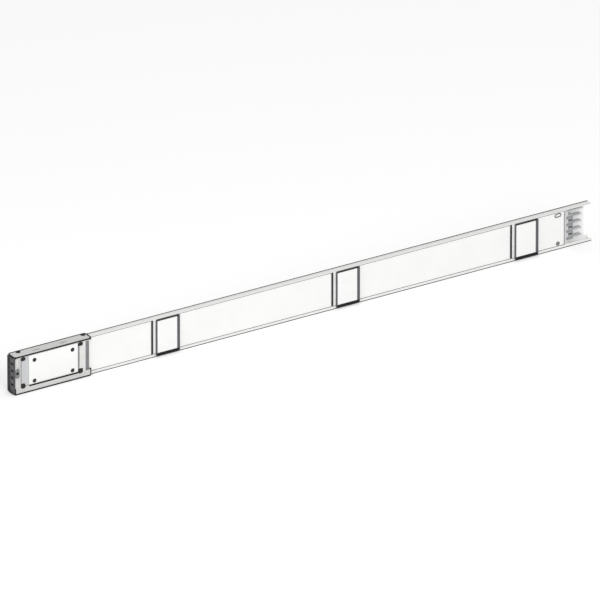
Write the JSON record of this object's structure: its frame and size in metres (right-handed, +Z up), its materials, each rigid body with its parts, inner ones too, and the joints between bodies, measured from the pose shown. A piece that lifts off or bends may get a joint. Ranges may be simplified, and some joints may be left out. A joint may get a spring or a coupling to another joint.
{
  "type": "plug-in busway section",
  "caption": "Straight busbar trunking length with a joint block at one end, bare bar ends at the other, and tap-off outlets with hinged lids along the front.",
  "frame": {"origin": "middle of the footprint, on the floor", "axes": "+X along the length towards the bare bar ends, outlets face -Y, +Z up"},
  "size_m": [3.214, 0.0664, 0.1975],
  "materials": {
    "casing_paint": "satin",
    "cover_paint": "satin",
    "rail_paint": "satin",
    "collar_paint": "satin",
    "panel_paint": "satin",
    "tinned_bar": "satin",
    "fork_copper": "satin",
    "pale_moulding": "matte",
    "grey_moulding": "matte",
    "dark_moulding": "matte",
    "black_moulding": "matte",
    "black_rubber": "matte",
    "flange_moulding": "matte",
    "lid_moulding": "satin",
    "dark_screw": "satin",
    "steel_pin": "polished"
  },
  "bodies": {
    "casing": {"top_flange": "casing_paint", "bottom_flange": "casing_paint", "front_lip": "casing_paint", "back_lip": "casing_paint", "back_cover": "cover_paint", "front_cover_1": "cover_paint", "front_cover_2": "cover_paint", "front_cover_3": "cover_paint", "front_cover_4": "cover_paint", "cover_screw": "dark_screw", "busbar_1": "tinned_bar", "busbar_2": "tinned_bar", "busbar_3": "tinned_bar", "busbar_4": "tinned_bar", "end_comb": "pale_moulding", "top_rail": "rail_paint", "bottom_rail": "rail_paint", "end_collar": "collar_paint", "casing_collar": "collar_paint", "casing_gasket": "black_rubber", "contact_carrier": "black_moulding", "joint_housing": "grey_moulding", "contact_fork_1": "fork_copper", "contact_fork_2": "fork_copper", "contact_fork_3": "fork_copper", "contact_fork_4": "fork_copper", "front_panel": "panel_paint", "back_panel": "panel_paint", "front_panel_screws": "dark_screw", "back_panel_screws": "dark_screw", "front_clips": "black_moulding", "back_clips": "black_moulding", "collar_screws": "dark_screw", "hanger_grommets": "black_rubber", "outlet_1_plate": "flange_moulding", "outlet_1_seal": "black_rubber", "outlet_1_shield": "dark_moulding", "outlet_1_support": "dark_moulding", "outlet_1_frame": "black_moulding", "outlet_1_studs": "black_moulding", "outlet_1_pin": "steel_pin", "outlet_2_plate": "flange_moulding", "outlet_2_seal": "black_rubber", "outlet_2_shield": "dark_moulding", "outlet_2_support": "dark_moulding", "outlet_2_frame": "black_moulding", "outlet_2_studs": "black_moulding", "outlet_2_pin": "steel_pin", "outlet_3_plate": "flange_moulding", "outlet_3_seal": "black_rubber", "outlet_3_shield": "dark_moulding", "outlet_3_support": "dark_moulding", "outlet_3_frame": "black_moulding", "outlet_3_studs": "black_moulding", "outlet_3_pin": "steel_pin"},
    "lid_1": {"outlet_1_lid": "lid_moulding"},
    "lid_2": {"outlet_2_lid": "lid_moulding"},
    "lid_3": {"outlet_3_lid": "lid_moulding"}
  },
  "joints": [
    {"name": "lid_1_hinge", "type": "hinge", "parent": "casing", "child": "lid_1", "pos_m": [-0.756, -0.0235, 0.183], "axis": [-1, 0, 0], "range_deg": [0, 95]},
    {"name": "lid_2_hinge", "type": "hinge", "parent": "casing", "child": "lid_2", "pos_m": [0.242, -0.0235, 0.183], "axis": [-1, 0, 0], "range_deg": [0, 95]},
    {"name": "lid_3_hinge", "type": "hinge", "parent": "casing", "child": "lid_3", "pos_m": [1.24, -0.0235, 0.183], "axis": [-1, 0, 0], "range_deg": [0, 95]}
  ]
}
